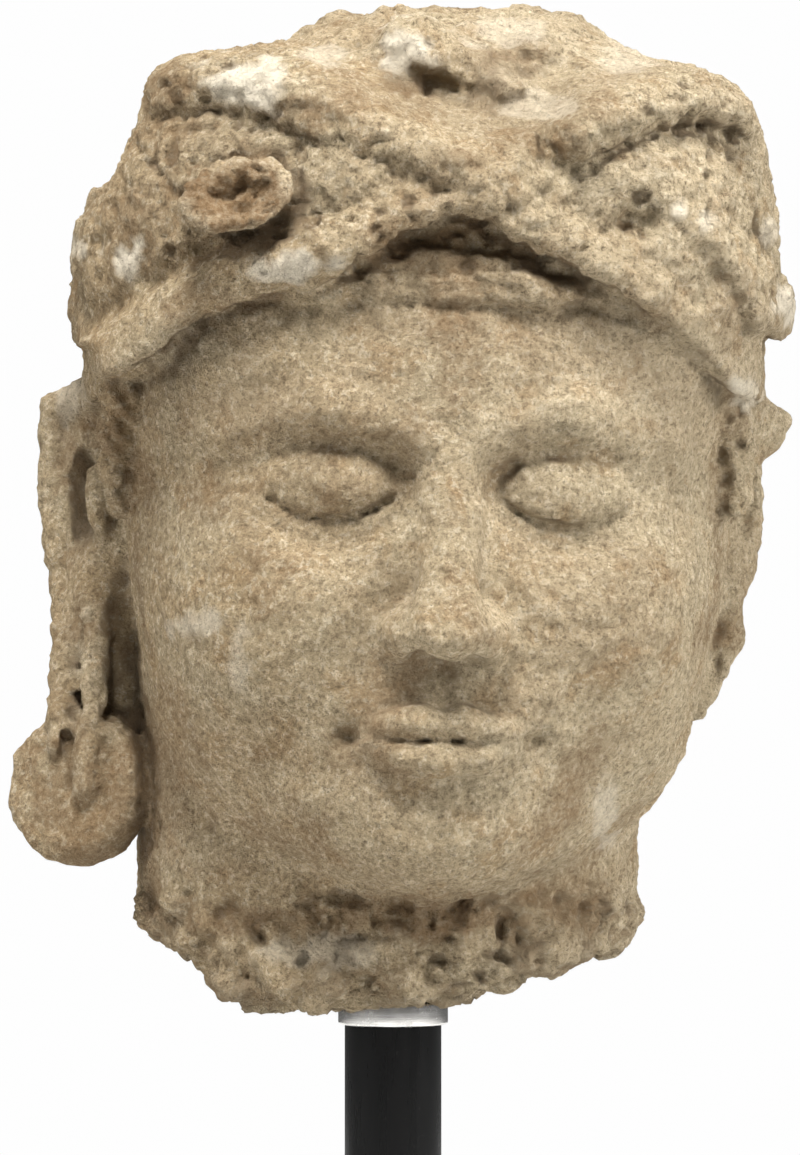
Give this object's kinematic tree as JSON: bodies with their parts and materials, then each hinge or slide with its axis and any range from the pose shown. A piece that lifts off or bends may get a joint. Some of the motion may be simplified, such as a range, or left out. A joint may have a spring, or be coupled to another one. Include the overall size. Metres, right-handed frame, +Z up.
{
  "type": "bodhisattva head on a post",
  "caption": "Broken-off stucco head with lowered lids, a wrapped turban, long ear lobes and a disc earring, held up by a round post in a square foot.",
  "frame": {"origin": "centre of the foot's underside, on the post's axis", "axes": "+Z up along the post, the face looks along -Y, +X to the right as seen from the front"},
  "size_m": [0.2028, 0.1895, 0.3862],
  "materials": {
    "head": "matt, porous, weathered",
    "post": "satin black",
    "collar": "polished",
    "foot": "satin black"
  },
  "bodies": {
    "root": {"head": "head", "post": "post", "collar": "collar", "foot": "foot"}
  },
  "joints": []
}
